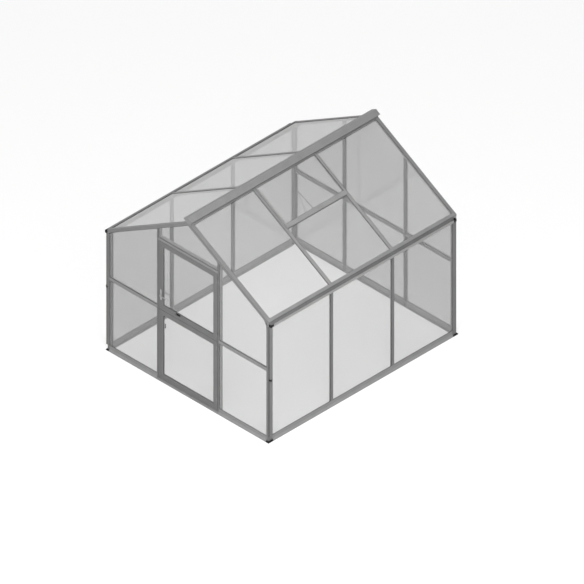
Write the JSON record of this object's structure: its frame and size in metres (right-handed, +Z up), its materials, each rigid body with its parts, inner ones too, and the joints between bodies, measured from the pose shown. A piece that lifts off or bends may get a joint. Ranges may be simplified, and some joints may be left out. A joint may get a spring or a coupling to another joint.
{
  "type": "glass greenhouse",
  "caption": "Free-standing gable greenhouse: aluminium glazing bars, clear panes, a roof vent, eave gutters with downpipes and a two-part hinged door.",
  "frame": {"origin": "on the ground in the middle of the house, under the ridge", "axes": "+Z up; X across the house from side wall to side wall; +Y from the door gable to the rear gable"},
  "size_m": [2.73, 3.133, 2.54],
  "materials": {
    "aluminium": "satin mill",
    "glass": "clear, 4 mm",
    "black_plastic": "moulded",
    "handle_steel": "brushed"
  },
  "bodies": {
    "root": {"front_sills": "aluminium", "door_threshold": "aluminium", "rear_sill": "aluminium", "side_sills": "aluminium", "corner_feet": "black_plastic", "corner_posts": "aluminium", "side_wall_posts": "aluminium", "door_posts": "aluminium", "rear_gable_posts": "aluminium", "front_rafters": "aluminium", "rear_rafters": "aluminium", "roof_rafters": "aluminium", "ridge_beam": "aluminium", "ridge_cap": "aluminium", "ridge_end_plates": "aluminium", "left_gutter": "aluminium", "right_gutter": "aluminium", "eave_trims": "aluminium", "gutter_fittings": "black_plastic", "downpipes": "aluminium", "front_mid_rails": "aluminium", "rear_mid_rails": "aluminium", "door_lintel": "aluminium", "gussets": "aluminium", "left_wall_glass": "glass", "right_wall_glass": "glass", "left_roof_glass": "glass", "right_roof_glass": "glass", "front_glass": "glass", "door_head_glass": "glass", "rear_outer_glass": "glass", "rear_middle_glass": "glass", "post_hinges": "aluminium", "vent_frame": "aluminium", "vent_glass": "glass", "vent_sill": "aluminium", "vent_opener": "aluminium"},
    "upper_leaf": {"upper_door_frame": "aluminium", "upper_door_glass": "glass", "upper_door_hinges": "aluminium", "door_handles": "handle_steel", "upper_door_latch": "black_plastic"},
    "lower_leaf": {"lower_door_frame": "aluminium", "lower_door_glass": "glass", "lower_door_hinges": "aluminium", "lower_door_latch": "black_plastic"}
  },
  "joints": [
    {"name": "upper_leaf_hinge", "type": "hinge", "parent": "root", "child": "upper_leaf", "pos_m": [0.48, -1.546, 1.5], "axis": [0, 0, 1], "range_deg": [0, 110]},
    {"name": "lower_leaf_hinge", "type": "hinge", "parent": "root", "child": "lower_leaf", "pos_m": [0.48, -1.546, 0.52], "axis": [0, 0, 1], "range_deg": [0, 110]}
  ]
}
